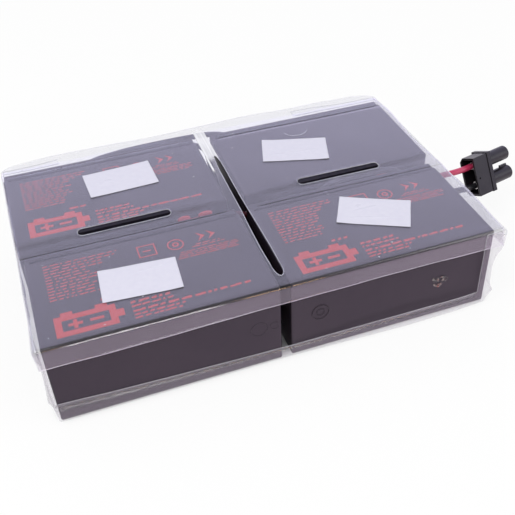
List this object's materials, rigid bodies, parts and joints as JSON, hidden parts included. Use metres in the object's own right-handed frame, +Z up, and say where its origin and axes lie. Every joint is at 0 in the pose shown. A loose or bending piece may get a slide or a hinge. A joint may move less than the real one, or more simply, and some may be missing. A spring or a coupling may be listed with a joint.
{
  "type": "ups battery cartridge",
  "caption": "Flat block of sealed lead-acid batteries wrapped in a folded clear tray and cover, with slots in the top and a short red and black lead to a plug at one end.",
  "frame": {"origin": "middle of the grid of batteries, on the underside of the tray", "axes": "+Z up out of the slotted cover, +X towards the end where the leads and the plug come out, +Y towards the terminal side of every battery"},
  "size_m": [0.3982, 0.2331, 0.0662],
  "materials": {
    "case_plastic": "fine spark-eroded texture",
    "lid_plastic": "fine spark-eroded texture",
    "valve_rubber": "matt",
    "plate_lead": "dull cast lead",
    "terminal_tin": "tin plated",
    "receptacle_brass": "rolled sheet",
    "red_sleeve": "soft vinyl",
    "black_sleeve": "soft vinyl",
    "strand_copper": "fine bare strands",
    "clear_sheet": "clear vinyl sheet, glossy",
    "blank_label": "satin, blank",
    "connector_plastic": "moulded, satin",
    "contact_silver": "silver plated",
    "red_insulation": "smooth vinyl",
    "black_insulation": "smooth vinyl"
  },
  "bodies": {
    "root": {"front_left_container": "case_plastic", "front_left_lid": "lid_plastic", "front_left_valve_cover": "lid_plastic", "front_left_valve_caps": "valve_rubber", "front_left_plate_groups": "plate_lead", "front_left_positive_terminal": "terminal_tin", "front_left_positive_receptacle": "receptacle_brass", "front_left_negative_terminal": "terminal_tin", "front_left_negative_receptacle": "receptacle_brass", "front_right_container": "case_plastic", "front_right_lid": "lid_plastic", "front_right_valve_cover": "lid_plastic", "front_right_valve_caps": "valve_rubber", "front_right_plate_groups": "plate_lead", "front_right_positive_terminal": "terminal_tin", "front_right_positive_receptacle": "receptacle_brass", "front_right_negative_terminal": "terminal_tin", "front_right_negative_receptacle": "receptacle_brass", "rear_left_container": "case_plastic", "rear_left_lid": "lid_plastic", "rear_left_valve_cover": "lid_plastic", "rear_left_valve_caps": "valve_rubber", "rear_left_plate_groups": "plate_lead", "rear_left_positive_terminal": "terminal_tin", "rear_left_positive_receptacle": "receptacle_brass", "rear_left_negative_terminal": "terminal_tin", "rear_left_negative_receptacle": "receptacle_brass", "rear_right_container": "case_plastic", "rear_right_lid": "lid_plastic", "rear_right_valve_cover": "lid_plastic", "rear_right_valve_caps": "valve_rubber", "rear_right_plate_groups": "plate_lead", "rear_right_positive_terminal": "terminal_tin", "rear_right_positive_receptacle": "receptacle_brass", "rear_right_negative_terminal": "terminal_tin", "rear_right_negative_receptacle": "receptacle_brass", "red_boots": "red_sleeve", "black_boots": "black_sleeve", "bare_strands": "strand_copper", "tray": "clear_sheet", "cover": "clear_sheet", "front_left_label": "blank_label", "front_right_label": "blank_label", "rear_left_label": "blank_label", "rear_right_label": "blank_label", "connector_housing": "connector_plastic", "red_contact": "contact_silver", "black_contact": "contact_silver", "red_lead_inner": "red_insulation", "black_lead_inner": "black_insulation", "left_jumper": "black_insulation", "rear_jumper": "black_insulation", "right_jumper": "black_insulation", "red_lead_free": "red_insulation", "black_lead_free": "black_insulation"}
  },
  "joints": []
}
